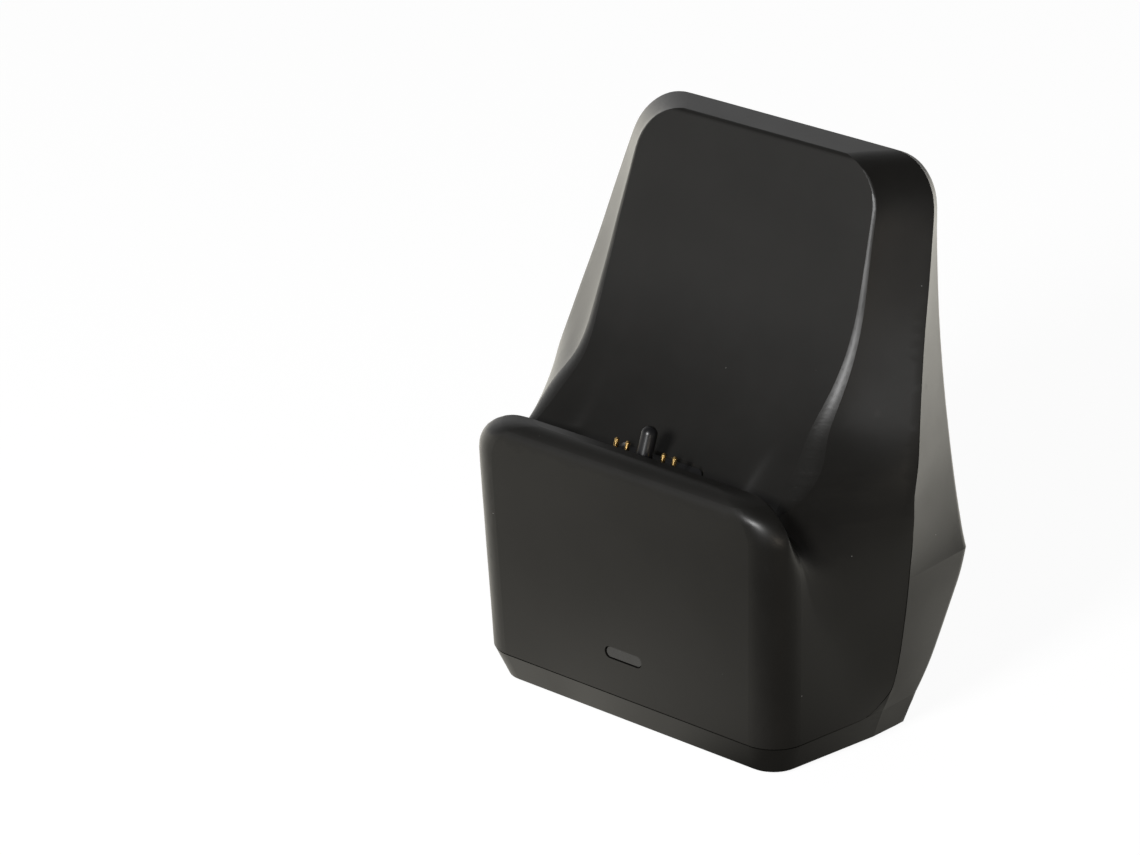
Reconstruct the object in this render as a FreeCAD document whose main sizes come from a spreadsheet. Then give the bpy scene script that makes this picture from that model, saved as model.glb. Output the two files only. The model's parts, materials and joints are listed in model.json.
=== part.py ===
import FreeCAD
import Part

import math
import os

import Sketcher
from FreeCAD import Placement, Rotation, Vector

# Desk stand that charges one game controller. Millimetres, +Z up, front towards -Y, mirror plane at X = 0.
# The origin is on the table, under the middle of the stand. A setback is measured back from the front face
# at the parting line.

# Driving dimensions: name, value, what it is
SIZES = [
    ("stand_depth", 57.2, "front of the lip to the back"),
    ("stand_height", 122.0, "table to the top edge"),
    ("wall", 2.2, "moulded wall of both shells"),
    ("parting_gap", 0.3, "groove between the two shells"),
    ("piece_gap", 0.25, "clearance round a piece that sits in an opening"),
    ("slide_gap", 0.05, "radial clearance of a sliding fit or a screw in its hole"),
    ("skirt_top", 7.5, "height of the parting line along the front"),
    ("lip_height", 62.0, "table to the top of the lip"),
    ("lip_overhang", 3.2, "how far the front face leans out at the lip"),
    ("lip_edge", 1.2, "rounding between the lip and the trough"),
    ("lip_round", 2.0, "rounding along the front edge of the lip"),
    ("front_corner", 8.0, "upright corners of the front face"),
    ("top_corner", 10.0, "upper corners of the stand"),
    ("trough_setback", 5.6, "lowest line of the trough"),
    ("trough_depth", 5.3, "that line below the lip"),
    ("trough_front", 2.65, "curve between that line and the lip"),
    ("trough_curve", 10.0, "curve behind that line"),
    ("rest_curve", 75.0, "curve from the trough into the back rest"),
    ("rest_lean", 16.4, "degrees that the back rest leans back"),
    ("rest_inset", 11.8, "back rest in front of the back, at the top edge"),
    ("rest_edge_low", 6.0, "rounding between back rest and side, down at the trough"),
    ("rest_edge_high", 1.2, "the same rounding at the top, and along the top edge"),
    ("ridge_setback", 31.5, "upright part of the side parting line"),
    ("ridge_corner", 7.0, "lower corner of the side parting line"),
    ("ridge_bend", 53.5, "height where the side parting line starts to lean back"),
    ("bend_curve", 40.0, "curve at that bend"),
    ("ridge_inset", 2.47, "side parting line in front of the back, at the top edge"),
    ("crease_soft", 3.0, "half length of the soft turn between front block and wing"),
    ("foot_height", 0.8, "feet below the floor"),
    ("floor_half", 38.3, "half width of the floor at its front corners"),
    ("floor_setback", 3.0, "front edge of the floor"),
    ("floor_corner", 6.0, "front corners of the floor"),
    ("floor_ridge_half", 41.5, "half width of the floor under the side parting line"),
    ("floor_rear_half", 40.5, "half width of the floor at its rear corners"),
    ("board_to_back", 2.4, "rear edge of the floor behind the main board"),
    ("kink_height", 39.0, "height where the back turns in towards the floor"),
    ("kink_half", 46.3, "half width of the back at that height"),
    ("back_top_half", 35.6, "half width of the back at the top edge"),
    ("back_corner", 3.0, "upright corners of the back"),
    ("contact_lean", 18.8, "degrees that the guide post and the pins lean back"),
    ("contact_behind", 0.09, "contact frame's origin behind the lowest line of the trough"),
    ("contact_rise", 3.5, "contact frame's origin above that line, on the guide post axis"),
    ("post_radius", 1.735, "guide post"),
    ("post_rise", 6.81, "post tip above the contact frame's origin"),
    ("plate_half", 12.25, "half width of the contact block in the trough"),
    ("plate_front", 1.85, "contact block in front of the post axis"),
    ("plate_back", 6.25, "contact block behind the post axis"),
    ("plate_corner", 2.75, "rear corners of the contact block"),
    ("plate_drop", 0.2, "contact block below the trough surface"),
    ("block_depth", 12.0, "underside of the contact block below the frame's origin"),
    ("flange_half", 18.0, "half width of the contact block's flange"),
    ("flange_back", 9.0, "flange behind the post axis"),
    ("flange_gap", 0.28, "flange below the underside of the trough"),
    ("flange_thick", 2.5, "flange"),
    ("pin_inner", 4.93, "inner pins beside the post axis"),
    ("pin_outer", 7.92, "outer pins beside the post axis"),
    ("pin_radius", 0.53, "contact pin"),
    ("pin_rise", 2.32, "pin tip above the frame's origin"),
    ("pin_foot", 5.1, "underside of the pin's collar below the frame's origin"),
    ("collar_radius", 0.68, "pin collar in its barrel"),
    ("collar_height", 0.6, "pin collar in its barrel"),
    ("barrel_radius", 0.95, "pin barrel"),
    ("barrel_sink", 0.04, "top of the barrel below the contact block's surface"),
    ("barrel_end", 0.5, "closed lower end and collared upper end of the barrel"),
    ("tail_radius", 0.35, "solder tail under the barrel"),
    ("tail_length", 2.2, "solder tail under the barrel"),
    ("spring_radius", 0.45, "coil of the spring, to the middle of its wire"),
    ("spring_wire", 0.1, "radius of the spring wire"),
    ("spring_turns", 5.0, "turns of the spring"),
    ("contact_board_half", 14.0, "half width of the contact board"),
    ("contact_board_front", 1.0, "contact board in front of the post axis"),
    ("contact_board_back", 7.5, "contact board behind the post axis"),
    ("board_thick", 1.6, "both circuit boards"),
    ("main_board_half", 20.0, "half width of the main board"),
    ("main_board_front", 3.6, "front edge of the main board"),
    ("main_board_length", 37.0, "front to back of the main board"),
    ("main_board_height", 6.4, "underside of the main board"),
    ("standoff_radius", 2.6, "standoffs under the main board"),
    ("standoff_half", 16.0, "standoffs beside the middle"),
    ("standoff_front", 10.0, "setback of the front standoffs"),
    ("standoff_back", 35.0, "setback of the rear standoffs"),
    ("board_screw_radius", 0.95, "thread of the board screws"),
    ("board_screw_head", 1.9, "head radius of the board screws"),
    ("board_screw_head_height", 1.3, "head of the board screws"),
    ("board_screw_length", 4.4, "board screws below the head"),
    ("cover_screw_radius", 1.2, "thread of the cover screws"),
    ("cover_screw_head", 2.6, "head radius of the cover screws"),
    ("cover_screw_head_height", 1.8, "head of the cover screws"),
    ("cover_screw_length", 13.0, "cover screws below the head"),
    ("cover_screw_seat", 4.2, "height of the ledge under each cover screw's head"),
    ("cover_boss_radius", 3.1, "bosses for the cover screws"),
    ("cover_boss_half", 33.0, "cover screws beside the middle"),
    ("cover_boss_front", 10.0, "setback of the front cover screws"),
    ("cover_boss_back", 26.0, "setback of the rear cover screws"),
    ("cover_boss_top", 22.0, "top of the cover bosses"),
    ("block_screw_radius", 0.95, "thread of the block screws"),
    ("block_screw_head", 1.9, "head radius of the block screws"),
    ("block_screw_head_height", 1.3, "head of the block screws"),
    ("block_screw_length", 4.9, "block screws below the head"),
    ("block_screw_half", 15.4, "block screws beside the post axis"),
    ("block_screw_back", 4.0, "block screws behind the post axis"),
    ("window_half", 4.85, "half width of the light window"),
    ("window_thick", 2.25, "height of the light window"),
    ("window_height", 17.2, "middle of the light window"),
    ("window_sink", 0.35, "light window below the front face"),
    ("guide_half", 3.0, "half width of the light guide's leg"),
    ("guide_thick", 2.2, "leg of the light guide"),
    ("guide_back", 6.6, "back of the light guide's leg"),
    ("guide_clear", 0.4, "gap between the lamp and the light guide"),
    ("lamp_half", 1.0, "half width of the lamp"),
    ("lamp_depth", 1.6, "lamp front to back"),
    ("lamp_height", 0.8, "lamp above the board"),
    ("socket_half", 4.0, "half width of the socket shell"),
    ("socket_height", 3.0, "socket shell above the board"),
    ("socket_length", 6.0, "socket shell front to back"),
    ("socket_sheet", 0.3, "metal of the socket shell"),
    ("socket_overhang", 3.6, "socket shell behind the main board"),
    ("tongue_half", 2.6, "half width of the socket tongue"),
    ("tongue_thick", 0.8, "socket tongue"),
    ("tongue_length", 3.6, "socket tongue front to back"),
    ("inlet_margin", 1.3, "opening in the back round the socket shell"),
    ("wire_radius", 0.55, "link wires"),
    ("wire_half", 4.0, "link wires beside the middle"),
    ("wire_setback", 15.0, "link wires on the main board"),
    ("wire_drop", 5.0, "straight end of a link wire under the contact board"),
    ("wire_rise", 12.0, "straight end of a link wire above the main board"),
    ("wire_bend", 4.0, "upper bend of a link wire"),
    ("wire_sweep", 8.0, "lower bend of a link wire"),
    ("foot_radius", 4.0, "rubber feet"),
    ("foot_sink", 0.9, "feet let into the floor"),
    ("foot_front_half", 24.0, "front feet beside the middle"),
    ("foot_front", 10.0, "setback of the front feet"),
    ("foot_back_half", 27.0, "rear feet beside the middle"),
    ("foot_back", 36.0, "setback of the rear feet"),
]

# Outline of the front cover seen from above, level by level. Level 0 is the parting line, 1 the lip, 2 the top.
# Each row: level, half width at the ridge, half width and setback of the waist, half width of the front.
LEVELS = [
    (0.0, 43.8, 43.55, 27.5, 41.0),
    (0.138, 46.6, 43.7, 25.0, 41.26),
    (0.321, 48.3, 43.7, 20.5, 41.61),
    (0.578, 49.7, 43.35, 11.5, 42.1),
    (0.835, 50.6, 43.4, 7.5, 42.59),
    (0.963, 49.1, 43.1, 9.5, 42.83),
    (1.067, 47.8, 38.9, 17.5, 42.2),
    (1.2, 46.1, 36.3, 24.5, 37.0),
    (1.467, 42.9, 32.4, 28.3, 31.5),
    (1.733, 40.4, 30.1, 33.2, 28.5),
    (2.0, 37.7, 27.6, 37.6, 25.5),
]
LEVEL_COLUMNS = ("level", "ridge_half", "waist_half", "waist_setback", "front_half")
SECTION_COUNT = 14
HOLLOW_COUNT = 7
FAR = 90.0
# Share of its radius by which a rounding cut stands proud, so that it crosses the faces that it joins
PROUD = 0.015

DOC = FreeCAD.newDocument("charging_stand")
SHEET = DOC.addObject("Spreadsheet::Sheet", "Sizes")


def fill_sheet():
    """Puts every driving dimension in the sheet under its name."""
    rows = list(SIZES)
    for place, values in enumerate(LEVELS):
        for column, value in zip(LEVEL_COLUMNS, values):
            rows.append((f"{column}_of_{place}", value, f"front cover outline, row {place}"))
    for row, (alias, value, note) in enumerate(rows, start=1):
        SHEET.set(f"A{row}", note)
        SHEET.set(f"B{row}", str(value))
        SHEET.setAlias(f"B{row}", alias)
    DOC.recompute()


fill_sheet()


def size(alias):
    return float(SHEET.get(alias))


def outline_column(column):
    return [size(f"{column}_of_{place}") for place in range(len(LEVELS))]


FRONT_Y = size("lip_overhang") - size("stand_depth") / 2
BACK_Y = size("stand_depth") / 2


# Plane geometry

def side(y, z):
    return Vector(0, y, z)


def mirrored(point):
    return Vector(-point.x, point.y, point.z)


def turned_corner(before, point, after, radius):
    """Start, middle and end of the arc that rounds a corner."""
    back = (before - point).normalize()
    ahead = (after - point).normalize()
    half = back.getAngle(ahead) / 2
    reach = radius / math.tan(half)
    middle = point + (back + ahead).normalize() * (radius / math.sin(half) - radius)
    return point + back * reach, middle, point + ahead * reach


def rounded_wire(corners):
    """Closed wire through (point, radius) corners, rounded wherever the radius isn't zero."""
    count = len(corners)
    arcs = []
    for place, (point, radius) in enumerate(corners):
        if radius > 0:
            arcs.append(turned_corner(corners[place - 1][0], point, corners[(place + 1) % count][0], radius))
        else:
            arcs.append((point, None, point))
    edges = []
    for place, (start, middle, end) in enumerate(arcs):
        if middle is not None:
            edges.append(Part.Arc(start, middle, end).toShape())
        edges.append(Part.LineSegment(end, arcs[(place + 1) % count][0]).toShape())
    return Part.Wire(edges)


def across(wire):
    """Solid made by running a side-view outline right across the stand."""
    face = Part.Face(wire)
    face.translate(Vector(-FAR, 0, 0))
    return face.extrude(Vector(2 * FAR, 0, 0))


# Parting between the two shells

def ridge_lean():
    """How far the upper side parting line runs back for each millimetre up."""
    top_setback = BACK_Y - size("ridge_inset") - FRONT_Y
    return (top_setback - size("ridge_setback")) / (size("stand_height") - size("ridge_bend"))


def parting_corners(shift):
    """Side view of the parting line from the front to above the top, moved towards the rear shell by shift."""
    low = size("skirt_top") - shift
    upright = FRONT_Y + size("ridge_setback") + shift
    top = size("stand_height") + FAR / 2
    lean = ridge_lean()
    return [
        (side(-FAR, low), 0),
        (side(upright, low), size("ridge_corner") + shift),
        (side(upright, size("ridge_bend")), size("bend_curve")),
        (side(upright + (top - size("ridge_bend")) * lean, top), 0),
    ]


def front_region():
    return across(rounded_wire(parting_corners(0) + [(side(-FAR, size("stand_height") + FAR / 2), 0)]))


def rear_region():
    around = [
        (side(FAR, size("stand_height") + FAR / 2), 0),
        (side(FAR, -FAR), 0),
        (side(-FAR, -FAR), 0),
    ]
    return across(rounded_wire(parting_corners(size("parting_gap")) + around))


def ridge_y(z):
    """Y of the side parting line at a height, with its bend eased."""
    ease = size("bend_curve") * math.tan(math.atan(ridge_lean()) / 2)
    rise = z - size("ridge_bend")
    if rise <= -ease:
        lifted = 0.0
    elif rise >= ease:
        lifted = rise
    else:
        lifted = (rise + ease) ** 2 / (4 * ease)
    return FRONT_Y + size("ridge_setback") + lifted * ridge_lean()


# Trough and back rest

def trough_floor():
    return size("lip_height") - size("trough_depth")


def cradle_frame():
    """Centres of the trough's and the back rest's curves, and the rest's own directions, out of it and up it."""
    lean = math.radians(size("rest_lean"))
    up = side(math.sin(lean), math.cos(lean))
    out = side(-math.cos(lean), math.sin(lean))
    gauge = side(BACK_Y - size("rest_inset"), size("stand_height"))
    trough = side(FRONT_Y + size("trough_setback"), trough_floor() + size("trough_curve"))
    off_line = size("rest_curve") - (trough - gauge).dot(out)
    reach = size("rest_curve") - size("trough_curve")
    rest = trough + out * off_line + up * math.sqrt(reach ** 2 - off_line ** 2)
    return trough, rest, out, up


def rest_y(z):
    """Y of the surface behind the trough's lowest line at a height."""
    trough, rest, out, up = cradle_frame()
    joint = trough + (trough - rest).normalize() * size("trough_curve")
    rest_start = rest - out * size("rest_curve")
    if z < joint.z:
        return trough.y + math.sqrt(size("trough_curve") ** 2 - (z - trough.z) ** 2)
    if z < rest_start.z:
        return rest.y + math.sqrt(size("rest_curve") ** 2 - (z - rest.z) ** 2)
    return rest_start.y + (z - rest_start.z) * up.y / up.z


def cradle_edges(grow):
    """Side view of lip, trough and back rest, moved into the material by grow."""
    trough, rest, out, up = cradle_frame()
    trough_r = size("trough_curve") + grow
    rest_r = size("rest_curve") + grow
    front_r = size("trough_front")
    toward = (trough - rest).normalize()
    joint = trough + toward * trough_r
    rest_start = rest - out * rest_r
    rest_middle = rest + (toward - out).normalize() * rest_r
    front = side(trough.y, trough_floor() + front_r)
    lowest = trough + side(0, -trough_r)
    land_z = size("lip_height") - grow
    land = side(-FAR, land_z)
    edges = []
    if grow:
        foot = side(front.y - math.sqrt((front_r + grow) ** 2 - (land_z - front.z) ** 2), land_z)
        edges.append(Part.LineSegment(land, foot).toShape())
    else:
        edge_r = size("lip_edge")
        edge_z = land_z - edge_r
        edge = side(front.y - math.sqrt((front_r + edge_r) ** 2 - (front.z - edge_z) ** 2), edge_z)
        foot = front + (edge - front).normalize() * front_r
        edge_start = side(edge.y, land_z)
        edge_middle = edge + (side(0, 1) + (front - edge).normalize()).normalize() * edge_r
        edges.append(Part.LineSegment(land, edge_start).toShape())
        edges.append(Part.Arc(edge_start, edge_middle, foot).toShape())
    front_middle = front + ((foot - front).normalize() + side(0, -1)).normalize() * (front_r + grow)
    trough_middle = trough + (toward + side(0, -1)).normalize() * trough_r
    edges.append(Part.Arc(foot, front_middle, lowest).toShape())
    edges.append(Part.Arc(lowest, trough_middle, joint).toShape())
    edges.append(Part.Arc(joint, rest_middle, rest_start).toShape())
    top_r = size("rest_edge_high")
    brim = rest_start + up * ((size("stand_height") + PROUD * top_r - rest_start.z) / up.z)
    turn_start, turn_middle, turn_end = turned_corner(rest_start, brim, brim + side(1, 0), top_r)
    edges.append(Part.LineSegment(rest_start, turn_start).toShape())
    edges.append(Part.Arc(turn_start, turn_middle, turn_end).toShape())
    above = size("stand_height") + FAR / 3
    corners = [turn_end, side(turn_end.y, above), side(-FAR, above), land]
    for start, end in zip(corners, corners[1:]):
        edges.append(Part.LineSegment(start, end).toShape())
    return edges


def cradle(grow):
    """Everything above the lip, the trough and the back rest."""
    return across(Part.Wire(cradle_edges(grow)))


# Outer form of the front cover

def level_at(z):
    """0 at the parting line, 1 at the lip, 2 at the top."""
    if z <= size("lip_height"):
        return (z - size("skirt_top")) / (size("lip_height") - size("skirt_top"))
    return 1 + (z - size("lip_height")) / (size("stand_height") - size("lip_height"))


def gentle(levels, values, level):
    """Value at a level, on a smooth curve that doesn't overshoot the given values."""
    steps = [(b - a) / (q - p) for a, b, p, q in zip(values, values[1:], levels, levels[1:])]
    slopes = [steps[0]]
    for before, after in zip(steps, steps[1:]):
        slopes.append(2 * before * after / (before + after) if before * after > 0 else 0.0)
    slopes.append(steps[-1])
    place = min(len(levels) - 2, sum(level > mark for mark in levels[1:-1]))
    span = levels[place + 1] - levels[place]
    u = (level - levels[place]) / span
    rise = values[place + 1] - values[place]
    bend = slopes[place] * (1 - u) - slopes[place + 1] * u
    return values[place] + rise * u * u * (3 - 2 * u) + span * u * (1 - u) * bend


def outline_value(column, level):
    return gentle(outline_column("level"), outline_column(column), level)


def drawn_in(z, radius, top):
    """How far a corner rounded by this radius has drawn in at a height near the top."""
    rise = max(0.0, z - (top - radius))
    return radius - math.sqrt(max(0.0, radius ** 2 - rise ** 2))


def cover_points(z, inset):
    """Front corner, waist and rear end of the right side of the front cover at a height, drawn in by inset."""
    level = level_at(z)
    lean = min(level, 1.1) * size("lip_overhang")
    corner = drawn_in(z, size("top_corner") - inset, size("stand_height") - inset)
    ridge = Vector(outline_value("ridge_half", level) - corner, ridge_y(z), z)
    waist = Vector(outline_value("waist_half", level) - corner, FRONT_Y + outline_value("waist_setback", level), z)
    front = Vector(outline_value("front_half", level) - corner, FRONT_Y - lean, z)
    to_waist = (waist - front).normalize()
    to_ridge = (ridge - waist).normalize()
    in_front = Vector(-to_waist.y, to_waist.x, 0)
    in_wing = Vector(-to_ridge.y, to_ridge.x, 0)
    end = ridge + in_wing * inset + to_ridge * (2 * size("wall"))
    waist += (in_front + in_wing) * (inset / (1 + in_front.dot(in_wing)))
    front += in_front * inset + Vector(0, inset, 0)
    return front, waist, end


def side_curve(z):
    """Right side of the front cover at a height, from its front corner to behind the ridge, with a soft waist."""
    front, waist, end = cover_points(z, 0)
    flank = front_arc(z)[2]
    before = waist + (front - waist).normalize() * size("crease_soft")
    after = waist + (end - waist).normalize() * size("crease_soft")
    curve = Part.BSplineCurve()
    curve.buildFromPoles([flank, (flank + waist) * 0.5, before, after, (waist + end) * 0.5, end], False, 3)
    return curve


def front_arc(z):
    """Start, middle and end of the front cover's right front corner at a height."""
    front, waist, _ = cover_points(z, 0)
    return turned_corner(mirrored(front), front, waist, size("front_corner"))


def cover_section(z):
    """Outline of the front cover at a height: flat front, round corners and waisted sides."""
    start, middle, flank = front_arc(z)
    right = side_curve(z)
    left = Part.BSplineCurve()
    left.buildFromPoles([mirrored(pole) for pole in reversed(right.getPoles())], False, 3)
    end = right.getPoles()[-1]
    return Part.Wire([
        Part.LineSegment(mirrored(start), start).toShape(),
        Part.Arc(start, middle, flank).toShape(),
        right.toShape(),
        Part.LineSegment(end, mirrored(end)).toShape(),
        left.toShape(),
        Part.Arc(mirrored(flank), mirrored(middle), mirrored(start)).toShape(),
    ])


def hollow_section(z, inset):
    """Plainer outline inside the front cover, with straight sides and bevelled corners."""
    front, waist, end = cover_points(z, inset)
    start, _, flank = turned_corner(mirrored(front), front, waist, size("front_corner") - inset)
    right = [start, flank, waist, end]
    left = [mirrored(point) for point in reversed(right)]
    return Part.makePolygon(right + left + [start])


def evenly(low, high, count):
    return [low + (high - low) * place / (count - 1) for place in range(count)]


def section_heights(low, inset, count):
    """Heights of a loft's sections up to the top edge, closer together through the rounded upper corners."""
    radius = size("top_corner") - inset
    turn_low = size("stand_height") - inset - radius
    turn = math.radians(18)
    straight = evenly(low, turn_low - radius * math.sin(turn), count)
    return straight + [turn_low + radius * math.sin(turn * step) for step in range(6)]


def in_front(block, inset):
    """Keeps what lies in front of the parting and under the lip, trough and back rest."""
    return block.cut(cradle(inset)).common(front_region())


def rounding_wire(centre, first, second, radius):
    """Section of what a rounding takes away: an arc between two outward directions, closed well outside."""
    between = (first + second).normalize()
    centre = centre + between * (PROUD * radius)
    clear = size("wall")
    start = centre + first * radius
    stop = centre + second * radius
    outside = [start, start + first * clear, centre + between * (1.5 * radius + 2 * clear), stop + second * clear, stop]
    edges = [Part.LineSegment(a, b).toShape() for a, b in zip(outside, outside[1:])]
    edges.append(Part.Arc(stop, centre + between * radius, start).toShape())
    return Part.Wire(edges)


def rest_edge_radius(z):
    """Rounding between the back rest and the side at a height: it grows out of the trough and narrows to the top."""
    share = (z - trough_floor()) / (size("stand_height") - trough_floor())
    spread = (size("rest_edge_low") - size("rest_edge_high")) * (1 - share) ** 2
    fade = 1 - drawn_in(z, size("top_corner"), size("stand_height")) / size("top_corner")
    below = max(0.0, trough_floor() + size("trough_curve") - z) / size("trough_curve")
    return (size("rest_edge_high") + spread) * fade * math.sqrt(1 - below ** 2)


def right_side(block, z):
    """The edge along the right side of a block's section at a height."""
    edges = block.slice(Vector(0, 0, 1), z)[0].Edges
    rightward = [edge for edge in edges if min(vertex.X for vertex in edge.Vertexes) > 0]
    return max(rightward, key=lambda edge: edge.BoundBox.YLength)


def rest_edge_section(block, z):
    """Section, at a height, of the rounding between the back rest and the right side."""
    radius = rest_edge_radius(z)
    line = rest_y(z) + radius
    edge = right_side(block, z)
    front, rear = edge.ParameterRange
    if edge.valueAt(front).y > edge.valueAt(rear).y:
        front, rear = rear, front
    for _ in range(40):
        middle = (front + rear) / 2
        along = edge.tangentAt(middle)
        outward = Vector(abs(along.y), -along.x * math.copysign(1, along.y), 0)
        centre = edge.valueAt(middle) - outward * radius
        if centre.y < line:
            front = middle
        else:
            rear = middle
    return rounding_wire(centre, Vector(0, -1, 0), outward, radius)


def rest_edges(block):
    """Roundings between the back rest and both sides of the block."""
    curve = size("trough_curve")
    heights = [trough_floor() + curve * (1 - math.cos(math.radians(8 * step + 4))) for step in range(1, 7)]
    heights += section_heights(trough_floor() + curve / 2, 0, 2 * SECTION_COUNT)[:-1]
    right = Part.makeLoft([rest_edge_section(block, z) for z in heights], True, False)
    return [right, right.mirror(Vector(0, 0, 0), Vector(1, 0, 0))]


def lip_edges():
    """Rounding along the front edge of the lip and round its two corners."""
    radius = size("lip_round")
    z = size("lip_height") - radius
    start = front_arc(z)[0]
    wire = rounding_wire(Vector(-start.x, start.y + radius, z), Vector(0, -1, 0), Vector(0, 0, 1), radius)
    face = Part.Face(wire)
    tools = [face.extrude(Vector(2 * start.x, 0, 0))]
    for x, angle in ((-start.x, -90), (start.x, 90)):
        end = face.copy()
        end.translate(Vector(x + start.x, 0, 0))
        tools.append(end.revolve(Vector(x, start.y + size("front_corner"), 0), Vector(0, 0, 1), angle))
    return tools


def cover_form():
    """Front cover as a solid block."""
    heights = section_heights(size("skirt_top") - size("wall"), 0, SECTION_COUNT)
    block = Part.makeLoft([cover_section(z) for z in heights], True, False)
    return in_front(block, 0).cut(rest_edges(block)).cut(lip_edges())


def hollow_form(inset):
    """Front cover as a plainer block, drawn in by inset."""
    heights = section_heights(size("skirt_top") - size("wall"), inset, HOLLOW_COUNT)
    return in_front(Part.makeLoft([hollow_section(z, inset) for z in heights], True, True), inset)


# Outer form of the rear shell

def back_half(z):
    """Half width of the back at a height above the kink."""
    share = (z - size("kink_height")) / (size("stand_height") - size("kink_height"))
    eased = 1 - (1 - share) ** 2
    return size("kink_half") + (size("back_top_half") - size("kink_half")) * eased


def ridge_point(z):
    """Right side at the parting line, at a height."""
    if z >= size("skirt_top"):
        return Vector(outline_value("ridge_half", level_at(z)), ridge_y(z), z)
    share = (z - size("foot_height")) / (size("skirt_top") - size("foot_height"))
    low = size("floor_ridge_half")
    return Vector(low + (outline_value("ridge_half", 0) - low) * share, ridge_y(z), z)


def rear_point(z):
    """Right rear corner at a height; below the kink the back slopes in towards the floor."""
    if z >= size("kink_height"):
        return Vector(back_half(z), BACK_Y, z)
    setback = size("main_board_front") + size("main_board_length") + size("board_to_back")
    low = Vector(size("floor_rear_half"), FRONT_Y + setback, size("foot_height"))
    high = Vector(size("kink_half"), BACK_Y, size("kink_height"))
    return low + (high - low) * ((z - low.z) / (high.z - low.z))


def back_points(z, inset):
    """Ridge and rear corner of the right side at a height, drawn in by inset."""
    ridge = ridge_point(z)
    rear = rear_point(z)
    along = (rear - ridge).normalize()
    inward = Vector(-along.y, along.x, 0)
    top = size("stand_height") - inset
    corner = Vector(drawn_in(z, size("top_corner") - inset, top), 0, 0)
    edge = Vector(0, drawn_in(z, size("back_corner"), top), 0)
    ridge += inward * inset - corner
    rear += inward * inset - along * (inset / along.y) - corner - edge
    return ridge, rear


def back_section(z, inset, radius):
    """Outline of the rear shell at a height, from in front of the ridge to the back."""
    ridge, rear = back_points(z, inset)
    level = level_at(z)
    run = ridge_y(z) - FRONT_Y - outline_value("waist_setback", level)
    slope = (outline_value("ridge_half", level) - outline_value("waist_half", level)) / run
    lead = ridge - Vector(slope, 1, 0) * (3 * size("wall"))
    right = [(lead, 0), (ridge, 0), (rear, radius)]
    left = [(mirrored(point), turn) for point, turn in reversed(right)]
    return rounded_wire(right + left)


def upper_back_form():
    heights = section_heights(size("kink_height"), 0, SECTION_COUNT // 2 + 1)
    return Part.makeLoft([back_section(z, 0, size("back_corner")) for z in heights], True, False)


def upper_back_hollow(inset):
    heights = section_heights(size("kink_height"), inset, HOLLOW_COUNT)
    return Part.makeLoft([back_section(z, inset, 0) for z in heights], True, True)


def lower_back_form():
    """Between the parting line's foot and the kink."""
    heights = evenly(size("skirt_top"), size("kink_height"), SECTION_COUNT // 2)
    return Part.makeLoft([back_section(z, 0, size("back_corner")) for z in heights], True, False)


def lower_back_hollow(inset):
    heights = evenly(size("skirt_top"), size("kink_height"), HOLLOW_COUNT)
    return Part.makeLoft([back_section(z, inset, 0) for z in heights], True, True)


def base_section(z, inset):
    """Whole outline of the base at a height between the floor and the parting line."""
    share = (z - size("foot_height")) / (size("skirt_top") - size("foot_height"))
    half = size("floor_half") + (outline_value("front_half", 0) - size("floor_half")) * share
    near = FRONT_Y + size("floor_setback") * (1 - share)
    corner = size("floor_corner") + (size("front_corner") - size("floor_corner")) * share
    ridge, rear = back_points(z, inset)
    right = [(Vector(half - inset, near + inset, z), corner - inset), (ridge, 0), (rear, size("back_corner") / 2)]
    left = [(mirrored(point), turn) for point, turn in reversed(right)]
    return rounded_wire(right + left)


def base_form(inset):
    """Base between the floor and the parting line."""
    heights = (size("foot_height") + inset, size("skirt_top"))
    return Part.makeLoft([base_section(z, inset) for z in heights], True, True)


def rear_hollows():
    """The three blocks that make up the rear shell, drawn in by the wall for its hollow."""
    inset = size("wall")
    return [upper_back_hollow(inset), lower_back_hollow(inset), base_form(inset)]


def rear_block():
    """Rear shell as a solid block."""
    return base_form(0).fuse([lower_back_form(), upper_back_form()]).common(rear_region())


# Places that several pieces share

def contact_place():
    """Frame of the contacts: its origin is on the post axis and its Z runs along the post."""
    setback = size("trough_setback") + size("contact_behind")
    origin = Vector(0, FRONT_Y + setback, trough_floor() + size("contact_rise"))
    return Placement(origin, Rotation(Vector(1, 0, 0), -size("contact_lean")))


def flange_top():
    """Top of the contact block's flange, below the contact frame's origin."""
    under = size("contact_rise") + size("wall")
    return under / math.cos(math.radians(size("contact_lean"))) + size("flange_gap")


def pin_places():
    return [-size("pin_outer"), -size("pin_inner"), size("pin_inner"), size("pin_outer")]


def cover_screw_spots():
    half = size("cover_boss_half")
    rows = (FRONT_Y + size("cover_boss_front"), FRONT_Y + size("cover_boss_back"))
    return [(x, y) for y in rows for x in (-half, half)]


def board_screw_spots():
    half = size("standoff_half")
    rows = (FRONT_Y + size("standoff_front"), FRONT_Y + size("standoff_back"))
    return [(x, y) for y in rows for x in (-half, half)]


def foot_spots():
    front = FRONT_Y + size("foot_front")
    back = FRONT_Y + size("foot_back")
    return [(-size("foot_front_half"), front), (size("foot_front_half"), front),
            (-size("foot_back_half"), back), (size("foot_back_half"), back)]


def front_face_y(z):
    return FRONT_Y - level_at(z) * size("lip_overhang")


def upright(radius, low, high, spot):
    return Part.makeCylinder(radius, high - low, Vector(spot[0], spot[1], low))


def pill(half, thick, y_from, y_to, z):
    """Bar with round ends, running from front to back."""
    r = thick / 2
    reach = half - r
    bar = Part.makeBox(2 * reach, y_to - y_from, thick, Vector(-reach, y_from, z - r))
    for x in (-reach, reach):
        bar = bar.fuse(Part.makeCylinder(r, y_to - y_from, Vector(x, y_from, z), Vector(0, 1, 0)))
    return bar.removeSplitter()


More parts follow.
